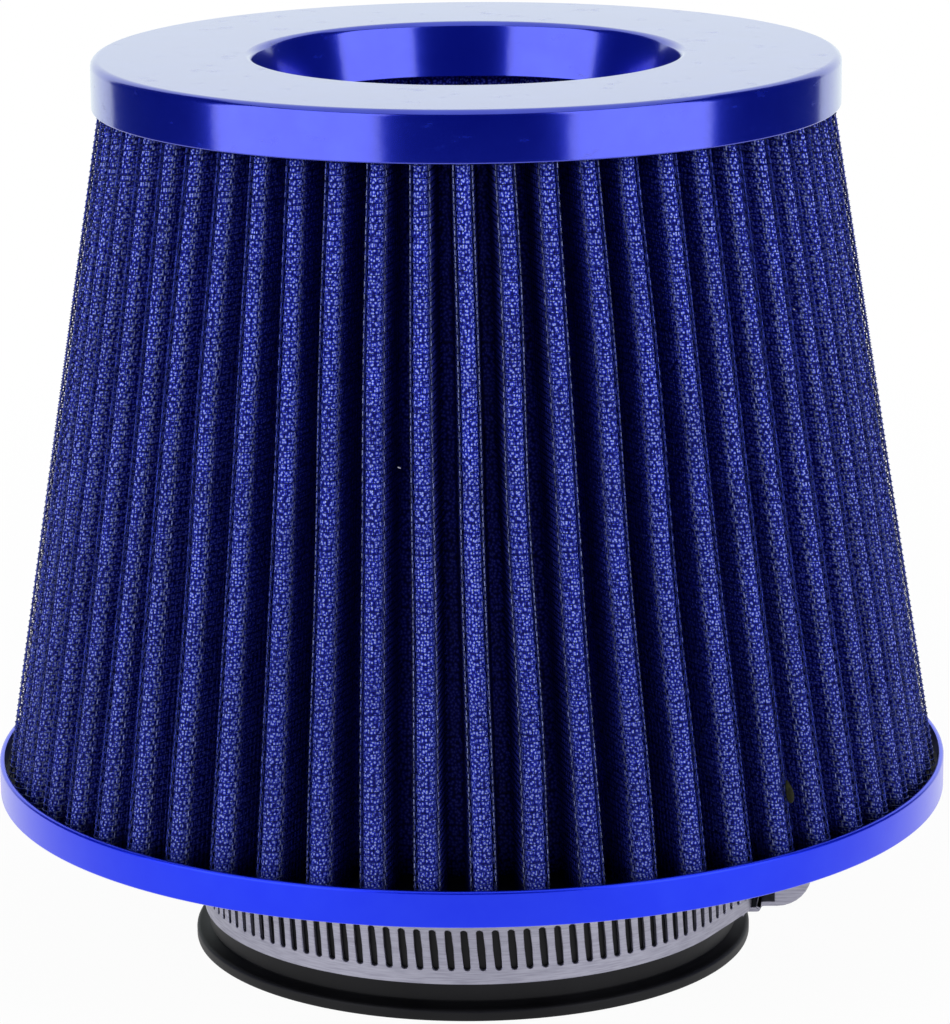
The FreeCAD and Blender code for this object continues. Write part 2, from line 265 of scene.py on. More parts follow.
@dataclass(frozen=True)
class LacqueredAluminium(Finish):
    """Polished aluminium under clear blue lacquer: a deep coloured mirror with a colourless gloss on top."""

    colour: str = "1A2CBC"
    worn_colour: str = "2438C4"
    roughness: float = 0.2
    smudge_roughness: float = 0.42
    smudge_range: tuple[float, float] = (0.62, 0.8)
    coat: float = 1.0
    coat_roughness: float = 0.12
    coat_ior: float = 1.7
    scuff_mm: float = 5.0
    rub_and_glint_mm: float = 1.6
    rub_length: float = 0.4
    wave_mm: float = 3.0
    wave_depth_mm: float = 0.009

    def shade(self, tree: Tree) -> Socket:
        """Adds a mirror with faint rubbing marks and a slight unevenness that bends its reflections.

        Args:
            tree: Node tree of the material.

        Returns:
            The shader's output.
        """
        place = place_of(tree, "Object")
        clouds = noise(tree, place, self.scuff_mm, 4.0)
        rub = noise(tree, stretched(tree, place, self.rub_length), self.rub_and_glint_mm, 5.0)
        uneven = bump(tree, noise(tree, place, self.wave_mm, 2.0), 1.0, self.wave_depth_mm)
        return principled(
            tree,
            {
                "Base Color": ramp(tree, clouds, [(0.35, self.colour), (0.75, self.worn_colour)]),
                "Metallic": 1.0,
                "Roughness": spread(tree, rub, self.smudge_range, (self.roughness, self.smudge_roughness)),
                "Normal": uneven,
                "Coat Normal": uneven,
                "Coat Weight": self.coat,
                "Coat Roughness": self.coat_roughness,
                "Coat IOR": self.coat_ior,
            },
        )


@dataclass(frozen=True)
class CottonGauze(Finish):
    """Dyed and oiled cotton gauze: royal blue, with pale thread crowns that are partly painted highlight, and
    painted shade that darkens it from the crests into the folds.
    """

    colour: str = "2438DE"
    # The threads' pale colour is partly their own and partly painted highlight on their crowns.
    thread_and_glint_colour: str = "ACBCFF"
    hole_colour: str = "060C70"
    # Real gauze is finer, and its threads are drawn coarser here so that they show at the image's size.
    thread_mm: float = 0.52
    thread_relief_mm: float = 0.15
    unevenness: float = 0.85
    patch_mm: float = 7.0
    patch_shades: tuple[float, float] = (0.85, 1.35)
    # Painted shade: from the crest out into the fold the cloth is darkened through the two tints below.
    crest_mm: float = 1.3
    flank_mm: float = 2.8
    fold_mm: float = 10.0
    flank_painted_shade: str = "A2A6DD"
    fold_painted_shade: str = "6C6CC0"
    # Painted shade: the cloth darkens with height towards the pack's foot, down to foot_shade.
    pack_foot_mm: float = 28.4
    pack_head_mm: float = 135.8
    foot_shade: float = 0.64

    def shade(self, tree: Tree) -> Socket:
        """Adds woven threads that follow the cloth, oil in patches, painted shade that darkens it towards the
        foot, and painted shade in the folds.

        Args:
            tree: Node tree of the material.

        Returns:
            The shader's output.
        """
        place = place_of(tree, "Object")
        cells = add_node(
            tree,
            "TexVoronoi",
            {
                "Vector": place_of(tree, "UV"),
                "Scale": 1 / (self.thread_mm * MM),
                "Randomness": self.unevenness,
            },
            voronoi_dimensions="2D",
            feature="F1",
        ).outputs["Distance"]
        # Weave with pale thread crowns, partly painted highlight, and dark holes.
        weave = ramp(tree, cells, [(0.16, self.thread_and_glint_colour), (0.36, self.colour), (0.62, self.hole_colour)])
        # Painted shade: a ramp that darkens the weave with distance from the crest.
        tints = ((self.crest_mm, WHITE), (self.flank_mm, self.flank_painted_shade), (self.fold_mm, self.fold_painted_shade))
        stops = [(away / self.fold_mm, code) for away, code in tints]
        fold_shade = ramp(tree, crest_share(tree, self.fold_mm), stops)
        folded = add_node(tree, "VectorMath", {0: weave, 1: fold_shade}, operation="MULTIPLY").outputs["Vector"]
        patches = spread(tree, noise(tree, place, self.patch_mm, 3.0), (0.25, 0.75), self.patch_shades)
        rise = add_node(tree, "SeparateXYZ", {"Vector": place}).outputs["Z"]
        pack = (self.pack_foot_mm * MM, self.pack_head_mm * MM)
        # Oil in patches, times painted shade that darkens the cloth towards the foot.
        oil_patches_and_painted_shade = combined(tree, patches, spread(tree, rise, pack, (self.foot_shade, 1.0)), "MULTIPLY")
        return principled(
            tree,
            {
                "Base Color": scaled(tree, folded, oil_patches_and_painted_shade),
                "Roughness": 0.55,
                "Specular IOR Level": 0.15,
                "Normal": bump(tree, cells, 0.6, self.thread_relief_mm, invert=True),
            },
        )


@dataclass(frozen=True)
class CoatedWire(Finish):
    """Net wire: blue on the crests, grey on their shoulders as painted highlight, and darkened in the folds
    by painted shade.
    """

    crest_colour: str = "303C98"
    # Painted highlight: this grey stands for glints on the crest shoulders.
    shoulder_glint_colour: str = "6C749A"
    # Painted shade: the dark wire colour in the folds.
    fold_shade_colour: str = "141A64"
    shoulder_mm: tuple[float, float, float, float] = (1.7, 2.2, 2.7, 3.3)
    fold_mm: float = 6.0
    # Size and strength of the painted glints, as spots that brighten and darken the wire's colour.
    rub_and_glint_mm: float = 0.9
    glint_shades: tuple[float, float] = (0.3, 1.1)

    def shade(self, tree: Tree) -> Socket:
        """Adds the wire's blue, painted highlight on the shoulders, painted shade in the folds and short
        painted glints.

        Args:
            tree: Node tree of the material.

        Returns:
            The shader's output.
        """
        # Painted highlight on the shoulders and painted shade in the folds, by distance from the crest.
        shades = (self.crest_colour, self.shoulder_glint_colour, self.shoulder_glint_colour, self.fold_shade_colour)
        stops = [(edge / self.fold_mm, code) for edge, code in zip(self.shoulder_mm, shades)]
        wire_colour_and_painted_light = ramp(tree, crest_share(tree, self.fold_mm), stops)
        # Painted glints: spots that brighten and darken the wire's colour.
        glint_spots = noise(tree, place_of(tree, "Object"), self.rub_and_glint_mm, 1.0)
        return principled(
            tree,
            {
                "Base Color": scaled(tree, wire_colour_and_painted_light, spread(tree, glint_spots, (0.35, 0.65), self.glint_shades)),
                "Metallic": 0.8,
                "Roughness": 0.4,
                "Specular IOR Level": 0.2,
            },
        )


@dataclass(frozen=True)
class MouldedRubber(Finish):
    """Moulded black rubber: satin, with a fine sparkle of mould grain and a grey bloom in patches."""

    colour: str = "0B0B0D"
    bloom_colour: str = "18181B"
    grain_mm: float = 0.5
    grain_depth_mm: float = 0.05
    bloom_mm: float = 14.0

    def shade(self, tree: Tree) -> Socket:
        """Adds mould grain and bloom.

        Args:
            tree: Node tree of the material.

        Returns:
            The shader's output.
        """
        place = place_of(tree, "Object")
        bloom = noise(tree, place, self.bloom_mm, 5.0)
        return principled(
            tree,
            {
                "Base Color": ramp(tree, bloom, [(0.4, self.colour), (0.75, self.bloom_colour)]),
                "Roughness": 0.5,
                "Specular IOR Level": 0.22,
                "Normal": bump(tree, noise(tree, place, self.grain_mm, 2.0), 0.25, self.grain_depth_mm),
            },
        )


@dataclass(frozen=True)
class RolledSteel(Finish):
    """Cold-rolled stainless strip: pale and bright, with fine lines along the rolling direction."""

    colour: str = "AEADBA"
    line_colour: str = "9E9DAA"
    line_mm: float = 0.2
    line_length: float = 0.06
    roughness: float = 0.5
    roughness_shares: tuple[float, float] = (1.3, 0.8)

    def shade(self, tree: Tree) -> Socket:
        """Adds fine lines that run round the clamp.

        Args:
            tree: Node tree of the material.

        Returns:
            The shader's output.
        """
        drawn = stretched(tree, place_of(tree, "Object"), self.line_length)
        lines = noise(tree, drawn, self.line_mm, 3.0)
        dull, bright = (self.roughness * share for share in self.roughness_shares)
        return principled(
            tree,
            {
                "Base Color": ramp(tree, lines, [(0.35, self.line_colour), (0.6, self.colour)]),
                "Metallic": 1.0,
                "Roughness": spread(tree, lines, (0.0, 1.0), (dull, bright)),
            },
        )


@dataclass(frozen=True)
class CastSealant(Finish):
    """Cast polyurethane sealant: dark and half matt, with shallow waves from pouring."""

    colour: str = "14151C"
    wave_colour: str = "23242E"
    wave_mm: float = 6.0
    wave_depth_mm: float = 0.3
    specular: float = 0.5

    def shade(self, tree: Tree) -> Socket:
        """Adds shallow waves.

        Args:
            tree: Node tree of the material.

        Returns:
            The shader's output.
        """
        waves = noise(tree, place_of(tree, "Object"), self.wave_mm, 2.0)
        return principled(
            tree,
            {
                "Base Color": ramp(tree, waves, [(0.3, self.colour), (0.7, self.wave_colour)]),
                "Roughness": 0.5,
                "Specular IOR Level": self.specular,
                "Normal": bump(tree, waves, 0.4, self.wave_depth_mm),
            },
        )


CAP_LACQUER = LacqueredAluminium("cap_blue_lacquer")
BAND_LACQUER = LacqueredAluminium(
    "band_blue_lacquer",
    colour="1634F2",
    worn_colour="1C3AF4",
    roughness=0.32,
    smudge_roughness=0.36,
    coat=0.9,
    coat_roughness=0.25,
    coat_ior=1.3,
)
GAUZE = CottonGauze("blue_cotton_gauze")
NET_WIRE = CoatedWire("dyed_steel_wire")
RUBBER = MouldedRubber("black_moulded_rubber")
STRIP_STEEL = RolledSteel("rolled_stainless_strip")
SCREW_STEEL = RolledSteel("zinc_plated_screw", colour="C9C9CC", line_colour="B5B5BB", roughness=0.3)
SEALANT = CastSealant("cast_sealant")
OIL = CastSealant("dried_oil", colour="0C0D04", wave_colour="2A2C14", wave_mm=0.8, specular=0.08)
LINT = CastSealant("pale_lint", colour="70707E", wave_colour="A4A4B2", wave_mm=0.3)


def verts_in(items: list) -> list[bmesh.types.BMVert]:
    """The vertices among the results of a mesh operator."""
    return [item for item in items if isinstance(item, bmesh.types.BMVert)]


def bends(bm: Mesh, angle: float) -> list[bmesh.types.BMEdge]:
    """The edges at which two faces turn by more than an angle in radians."""
    return [edge for edge in bm.edges if len(edge.link_faces) == 2 and edge.calc_face_angle(0) > angle]


def end_faces(bm: Mesh, beyond: float) -> list[bmesh.types.BMFace]:
    """The faces that look along Y and lie beyond a place on it."""
    return [face for face in bm.faces if face.normal.y > FACING and face.calc_center_median().y > beyond]


def bevel(bm: Mesh, edges: list[bmesh.types.BMEdge], size: float, segments: int) -> None:
    """Rounds edges.

    Args:
        bm: Mesh that holds the edges.
        edges: The edges.
        size: Size of the rounding.
        segments: Number of its facets.
    """
    bmesh.ops.bevel(
        bm, geom=edges, offset=size, segments=segments, profile=0.5, affect="EDGES", material=-1
    )


def turned(outline: list[tuple[float, float]], steps: int) -> Mesh:
    """Turns a closed outline about the filter's axis.

    Args:
        outline: Radius and height of each corner, in millimetres.
        steps: Number of facets round the axis.

    Returns:
        The turned ring, in millimetres.
    """
    bm = bmesh.new()
    corners = [bm.verts.new((radius, 0, height)) for radius, height in outline]
    edges = [bm.edges.new(pair) for pair in zip(corners, corners[1:] + corners[:1])]
    bmesh.ops.spin(
        bm, geom=corners + edges, cent=ORIGIN, axis=UP, angle=math.tau, steps=steps, use_merge=True
    )
    return bm


def round_rings(bm: Mesh, rounds: list[tuple[float, float, float, int]]) -> None:
    """Rounds the ring edges of a turned shape.

    Args:
        bm: Turned shape, in millimetres.
        rounds: Radius and height of a ring, the rounding's size and its number of facets.
    """
    for radius, height, size, segments in rounds:
        ring = [
            edge
            for edge in bm.edges
            if all(
                abs(vert.co.z - height) < NEAR_MM and abs(vert.co.xy.length - radius) < NEAR_MM
                for vert in edge.verts
            )
        ]
        bevel(bm, ring, size, segments)


def finished(
    bm: Mesh, name: str, finish: Finish, body: str, sharp: float = 35.0, weld: float = 0.002
) -> Piece:
    """Turns a mesh in millimetres into a finished piece in metres that rides on a body.

    Args:
        bm: Mesh in millimetres, which is used up.
        name: Name of the piece.
        finish: Surface finish.
        body: Body that the piece moves with.
        sharp: Angle in degrees above which an edge stays sharp.
        weld: Distance in millimetres at which corners are merged.

    Returns:
        The piece.
    """
    bmesh.ops.remove_doubles(bm, verts=bm.verts, dist=weld)
    bmesh.ops.recalc_face_normals(bm, faces=bm.faces)
    bmesh.ops.scale(bm, vec=(MM, MM, MM), verts=bm.verts)
    mesh = bpy.data.meshes.new(name)
    bm.to_mesh(mesh)
    bm.free()
    mesh.polygons.foreach_set("use_smooth", [True] * len(mesh.polygons))
    mesh.set_sharp_from_angle(angle=math.radians(sharp))
    mesh.materials.append(finish.material())
    piece = bpy.data.objects.new(name, mesh)
    bpy.context.scene.collection.objects.link(piece)
    if sharp < RIGHT_ANGLE:
        piece.modifiers.new("even_flats", "WEIGHTED_NORMAL").keep_sharp = True
    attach(piece, body)
    LOG.info("%s: %d faces", name, len(mesh.polygons))
    return piece


@dataclass
class CapPressing:
    """Blue cap: skirt, flat ring and tapered funnel pressed from one sheet."""

    radius: float = 57.7
    sheet: float = 0.8
    top: float = 141.8
    skirt_foot: float = 134.05
    mouth: float = 33.1
    throat: float = 31.0
    funnel_foot: float = 133.2
    edge_round: float = 1.2
    mouth_round: float = 0.9
    rim_round: float = 0.25
    steps: int = 288

    def build(self) -> Piece:
        """Turns the sheet's outline and rounds its edges.

        Returns:
            The cap.
        """
        bm = turned(
            [
                (self.radius - self.sheet, self.skirt_foot),
                (self.radius, self.skirt_foot),
                (self.radius, self.top),
                (self.mouth, self.top),
                (self.throat, self.funnel_foot),
                (self.throat + self.sheet, self.funnel_foot),
                (self.mouth + self.sheet, self.top - self.sheet),
                (self.radius - self.sheet, self.top - self.sheet),
            ],
            self.steps,
        )
        round_rings(
            bm,
            [
                (self.radius, self.top, self.edge_round, 5),
                (self.mouth, self.top, self.mouth_round, 4),
                (self.radius, self.skirt_foot, self.rim_round, 2),
                (self.throat, self.funnel_foot, self.rim_round, 2),
            ],
        )
        piece = finished(bm, "cap_pressing", CAP_LACQUER, FILTER_BODY)
        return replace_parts(piece, "top_cap")


@dataclass
class BaseBand:
    """Blue band round the foot of the pleats."""

    radius: float = 75.0
    sheet: float = 0.8
    foot: float = 25.6
    top: float = 31.1
    top_round: float = 0.45
    inner_round: float = 0.25
    foot_round: float = 0.3
    steps: int = 320

    def build(self) -> Piece:
        """Turns the band and rounds its edges.

        Returns:
            The band.
        """
        inside = self.radius - self.sheet
        corners = [(inside, self.foot), (self.radius, self.foot), (self.radius, self.top), (inside, self.top)]
        bm = turned(corners, self.steps)
        round_rings(
            bm,
            [
                (self.radius, self.top, self.top_round, 3),
                (inside, self.top, self.inner_round, 2),
                (self.radius, self.foot, self.foot_round, 3),
            ],
        )
        piece = finished(bm, "base_band", BAND_LACQUER, FILTER_BODY)
        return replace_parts(piece, "base_ring")


@dataclass
class RubberNeck:
    """Black base plate and neck, moulded in one piece."""

    bore: float = 38.0
    seat: float = 42.35
    lip: float = 44.4
    lip_height: float = 1.9
    undercut: float = 0.35
    undercut_run: float = 0.5
    undercut_end: float = 0.9
    plate_foot: float = 25.6
    plate_top: float = 28.4
    plate_radius: float = 74.2
    plate_fillet: float = 2.0
    lip_foot_round: float = 0.3
    lip_round: float = 0.6
    bore_round: float = 1.2
    groove_heights: tuple[float, float] = (19.0, 9.0)
    groove_depth: float = 0.5
    groove_half: float = 1.2
    groove_floor_half: float = 0.6
    steps: int = 256

    def build(self) -> Piece:
        """Turns the neck with its lip, undercut, fillet and two shallow grooves in the bore.

        Returns:
            The neck.
        """
        lip_top = self.lip_height
        outline = [(self.bore, 0), (self.lip, 0), (self.lip, lip_top)]
        outline += [(self.seat + self.undercut_run, lip_top)]
        outline += [(self.seat - self.undercut, lip_top + self.undercut)]
        outline += [(self.seat, lip_top + self.undercut_end), (self.seat, self.plate_foot)]
        outline += [(self.plate_radius, self.plate_foot), (self.plate_radius, self.plate_top)]
        outline += [(self.bore, self.plate_top)]
        groove = self.bore + self.groove_depth
        for height in self.groove_heights:
            outline += [(self.bore, height + self.groove_half), (groove, height + self.groove_floor_half)]
            outline += [(groove, height - self.groove_floor_half), (self.bore, height - self.groove_half)]
        bm = turned(outline, self.steps)
        round_rings(
            bm,
            [
                (self.lip, 0, self.lip_foot_round, 3),
                (self.lip, lip_top, self.lip_round, 4),
                (self.seat, self.plate_foot, self.plate_fillet, 4),
                (self.bore, self.plate_top, self.bore_round, 3),
                (self.bore, 0, self.lip_round, 3),
            ],
        )
        piece = finished(bm, "rubber_neck", RUBBER, FILTER_BODY)
        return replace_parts(piece, "neck_flange")


class Covering(Enum):
    """What lies on a pleated cloth."""

    NETTED = "netted"
    BARE = "bare"


@dataclass
class PleatPack:
    """A cone of folded gauze, with or without a wire net on its outer face."""

    name: str
    node: str
    count: int
    foot: float
    head: float
    foot_tip: float
    head_tip: float
    depth: float
    foot_width: float
    head_width: float
    cloth: float
    covering: Covering
    wander: float
    twist_foot: float
    twist_head: float
    seed: int
    wander_shares: tuple[float, float, float] = (0.7, 1.0, 0.5)
    lean_hold: float = 0.6
    waves: float = 1.7
    rows: int = 26
    crest_facets: int = 5
    flank_facets: int = 4
    tip_off: float = 0.9
    side_off: float = 0.5
    net_pitch: float = 0.92
    net_lengths: int = 4
    net_weld: float = 0.0005
    crest_stations: int = 7
    upright_facets: int = 8
    wire_radius: float = 0.085
    wire_sides: int = 3
    net_depth: float = 7.5
    net_spread: float = 0.07

    def level(self, height: float, low: float, high: float) -> float:
        """A size between its values at the foot and at the head."""
        return low + (high - low) * (height - self.foot) / (self.head - self.foot)

    def cloth_point(self, station: int, height: float) -> tuple[Vector, float]:
        """One point of the cloth's outer face on the pleat that lies along X.

        Args:
            station: Number of the column, counted both ways from the crest.
            height: Height of the row.

        Returns:
            The point, and its distance along the cloth from the crest.
        """
        half_pitch = math.pi / self.count
        netted = self.covering is Covering.NETTED
        outside = self.level(height, self.foot_tip, self.head_tip)
        tip = outside - self.tip_off * netted
        half = self.level(height, self.foot_width, self.head_width) / 2 - self.side_off * netted
        valley = outside - self.depth + self.cloth
        root = (valley - half * math.sin(half_pitch)) / math.cos(half_pitch)
        crest = tip - half
        side = math.copysign(1, station)
        number = abs(station)
        if number <= self.crest_facets:
            turn = math.pi / 2 * number / self.crest_facets
            point = Vector((crest + half * math.cos(turn), side * half * math.sin(turn), height))
            return point, side * half * turn
        bend = half * math.pi / 2
        if number <= self.crest_facets + self.flank_facets:
            down = (crest - root) * (number - self.crest_facets) / self.flank_facets
            return Vector((crest - down, side * half, height)), side * (bend + down)
        middle = Vector((valley * math.cos(half_pitch), side * valley * math.sin(half_pitch), height))
        return middle, side * (bend + crest - root + abs(middle.y) - half)

    def fold_cloth(self) -> Mesh:
        """Lays a grid on one pleat and copies it round the axis.

        Returns:
            The cloth's outer face, in millimetres.
        """
        reach = self.crest_facets + self.flank_facets + 1
        bm = bmesh.new()
        weave = bm.loops.layers.uv.new("weave")
        bmesh.ops.create_grid(bm, x_segments=2 * reach, y_segments=self.rows, size=1.0)
        lengths = {}
        for vert in bm.verts:
            station = round(vert.co.x * reach)
            height = self.foot + (self.head - self.foot) * (vert.co.y + 1) / 2
            vert.co, lengths[vert] = self.cloth_point(station, height)
        for face in bm.faces:
            for loop in face.loops:
                loop[weave].uv = (lengths[loop.vert] * MM, loop.vert.co.z * MM)
        self.repeat(bm)
        bmesh.ops.remove_doubles(bm, verts=bm.verts, dist=NEAR_MM)
        return bm

    def repeat(self, bm: Mesh) -> None:
        """Copies one pleat's geometry round the axis.

        Args:
            bm: Mesh of one pleat.
        """
        copies = self.count - 1
        bmesh.ops.spin(
            bm,
            geom=bm.verts[:] + bm.edges[:] + bm.faces[:],
            cent=ORIGIN,
            axis=UP,
            angle=math.tau * copies / self.count,
            steps=copies,
            use_duplicate=True,
        )

    def net_point(self, across: float, height: float) -> tuple[Vector, Vector]:
        """One point of the net on the pleat that lies along X.

        Args:
            across: Distance along the net from the crest, as at half height.
            height: Height of the point.

        Returns:
            The point and the net's outward normal there.
        """
        tip = self.level(height, self.foot_tip, self.head_tip) - 2 * self.wire_radius
        half = self.level(height, self.foot_width, self.head_width) / 2
        middle = (self.foot_width + self.head_width) / 4
        crest = tip - half
        side = math.copysign(1, across)
        turn = min(abs(across) / middle, math.pi / 2)
        down = max(abs(across) - middle * math.pi / 2, 0)
        normal = Vector((math.cos(turn), side * math.sin(turn), 0))
        return Vector((crest - down, side * self.net_spread * down, height)) + half * normal, normal

    def add_wire(self, bm: Mesh, segments: int, along: Callable[[float], WirePoint]) -> None:
        """Adds one wire as a slim tube.

        Args:
            bm: Mesh that takes the wire.
            segments: Number of lengths of the tube.
            along: Gives the wire's middle, two directions across it and its distance from the crest, for a
                share of its length.
        """
        weave = bm.loops.layers.uv.verify()
        verts = bmesh.ops.create_grid(bm, x_segments=segments, y_segments=self.wire_sides, size=1.0)["verts"]
        across = {}
        for vert in verts:
            middle, first, second, across[vert] = along((vert.co.x + 1) / 2)
            turn = math.pi * (vert.co.y + 1)
            vert.co = middle + self.wire_radius * (math.cos(turn) * first + math.sin(turn) * second)
        for vert in verts:
            for loop in vert.link_loops:
                loop[weave].uv = (across[vert] * MM, vert.co.z * MM)

    def weave_net(self) -> Mesh:
        """Lays crosswise wires on one pleat, with short staggered links on its crest and long ones beside it.

        Returns:
            One pleat's net, in millimetres.
        """
        bm = bmesh.new()
        bend = (self.foot_width + self.head_width) / 4 * math.pi / 2
        reach = bend + self.net_depth
        stations = [-reach, *np.linspace(-bend, bend, self.crest_stations), reach]
        links = int(bend / self.net_pitch) + 1
        for level in range(int((self.head - self.foot) / self.net_pitch)):
            height = self.foot + self.net_pitch * (level + 0.5)
            self.add_wire(bm, len(stations) - 1, self.crosswise(stations, height))
            for number in range(-links, links + 1):
                across = self.net_pitch * (number + level % 2 / 2)
                self.add_wire(bm, 1, self.upright(across, height, height + self.net_pitch))
        for number in range(links + 1, int(reach / self.net_pitch)):
            for side in (-1, 1):
                line = self.upright(side * number * self.net_pitch, self.foot, self.head)
                self.add_wire(bm, self.upright_facets, line)
        return bm

    def crosswise(self, stations: list[float], height: float) -> Callable[[float], WirePoint]:
        """The line of a crosswise wire, just outside the upright ones.

        Args:
            stations: Distances from the crest at which the wire bends.
            height: Height of the wire.

        Returns:
            The function that add_wire follows.
        """

        def along(share: float) -> WirePoint:
            """Follows the wire.

            Args:
                share: Share of the wire's length.

            Returns:
                Its middle, two directions across it and its distance from the crest.
            """
            across = stations[round(share * (len(stations) - 1))]
            point, normal = self.net_point(across, height)
            return point + normal * self.wire_radius, normal, UP, across

        return along

    def upright(self, across: float, low: float, high: float) -> Callable[[float], WirePoint]:
        """The line of an upright wire, just inside the crosswise ones.

        Args:
            across: Distance along the net from the crest.
            low: Height of its lower end.
            high: Height of its upper end.

        Returns:
            The function that add_wire follows.
        """

        def along(share: float) -> WirePoint:
            """Follows the wire.

            Args:
                share: Share of the wire's length.

            Returns:
                Its middle, two directions across it and its distance from the crest.
            """
            point, normal = self.net_point(across, min(low + (high - low) * share, self.head))
            return point - normal * self.wire_radius, normal, normal.cross(UP), across

        return along

    def settle(self, bm: Mesh) -> None:
        """Twists the pack a little and lets each pleat wander sideways, as hand-set pleats do.

        Args:
            bm: Mesh of all the pleats, in millimetres.
        """
        chance = np.random.default_rng(self.seed)
        lean, bow, wave = (chance.normal(0, self.wander * share, self.count) for share in self.wander_shares)
        phase = chance.uniform(0, math.tau, self.count)
        points = np.array([vert.co for vert in bm.verts])
        radius = np.hypot(points[:, 0], points[:, 1])
        angle = np.arctan2(points[:, 1], points[:, 0])
        share = (points[:, 2] - self.foot) / (self.head - self.foot)
        pleat = np.round(angle / (math.tau / self.count)).astype(int) % self.count
        tip = self.foot_tip + (self.head_tip - self.foot_tip) * share
        free = np.clip((radius - tip + self.depth - self.cloth) / (self.depth - self.cloth), 0, 1)
        side = lean[pleat] * self.lean_hold + bow[pleat] * np.sin(math.pi * share)
        side = side + wave[pleat] * np.sin(math.tau * share * self.waves + phase[pleat])
        twist = np.radians(self.twist_foot + (self.twist_head - self.twist_foot) * share)
        angle = angle + twist + free * side / radius
        for vert, r, a in zip(bm.verts, radius, angle):
            vert.co.x = r * math.cos(a)
            vert.co.y = r * math.sin(a)

    def build(self) -> list[Piece]:
        """Makes the cloth and, where it is netted, the net in several lengths.

        Returns:
            The pieces.
        """
        bm = self.fold_cloth()
        self.settle(bm)
        cloth = finished(bm, f"{self.name}_cloth", GAUZE, FILTER_BODY, sharp=ALL_SMOOTH)
        wall = cloth.modifiers.new("cloth_thickness", "SOLIDIFY")
        wall.thickness = self.cloth * MM
        wall.offset = -1
        pieces = [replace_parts(cloth, self.node)]
        if self.covering is Covering.NETTED:
            pieces += self.cover()
        return pieces

    def cover(self) -> list[Piece]:
        """Copies one pleat's net round the axis and divides it into its lengths.

        Returns:
            The lengths of the net.
        """
        bm = self.weave_net()
        self.repeat(bm)
        self.settle(bm)
        sector = math.tau / self.net_lengths
        lengths = []
        for number in range(self.net_lengths):
            part = bm.copy()
            outside = [
                vert
                for vert in part.verts
                if int((math.atan2(vert.co.y, vert.co.x) % math.tau) / sector) != number
            ]
            bmesh.ops.delete(part, geom=outside, context="VERTS")
            name = f"{self.name}_net_{number + 1}"
            lengths.append(finished(part, name, NET_WIRE, FILTER_BODY, weld=self.net_weld))
        bm.free()
        return lengths


@dataclass
class ConePlug:
    """Rubber plug that closes the inner cone's lower end."""

    radius: float = 21.8
    foot: float = 77.8
    top: float = 80.8
    dish_rim: float = 2.5
    dish_slope: float = 1.0
    dish_depth: float = 0.8
    edge_round: float = 0.8
    steps: int = 96

    def build(self) -> Piece:
        """Turns the plug with a shallow dish in its underside.

        Returns:
            The plug.
        """
        bm = bmesh.new()
        wheel = bmesh.ops.create_cone(
            bm,
            cap_ends=True,
            segments=self.steps,
            radius1=self.radius,
            radius2=self.radius,
            depth=self.top - self.foot,
        )
        bmesh.ops.translate(bm, vec=(0, 0, (self.top + self.foot) / 2), verts=wheel["verts"])
        floor = [face for face in bm.faces if face.normal.z < -FACING]
        bmesh.ops.inset_region(bm, faces=floor, thickness=self.dish_rim)
        bmesh.ops.inset_region(bm, faces=floor, thickness=self.dish_slope, depth=-self.dish_depth)
        round_rings(bm, [(self.radius, self.foot, self.edge_round, 3)])
        piece = finished(bm, "cone_plug", RUBBER, FILTER_BODY)
        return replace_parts(piece, "inner_cone_cap")


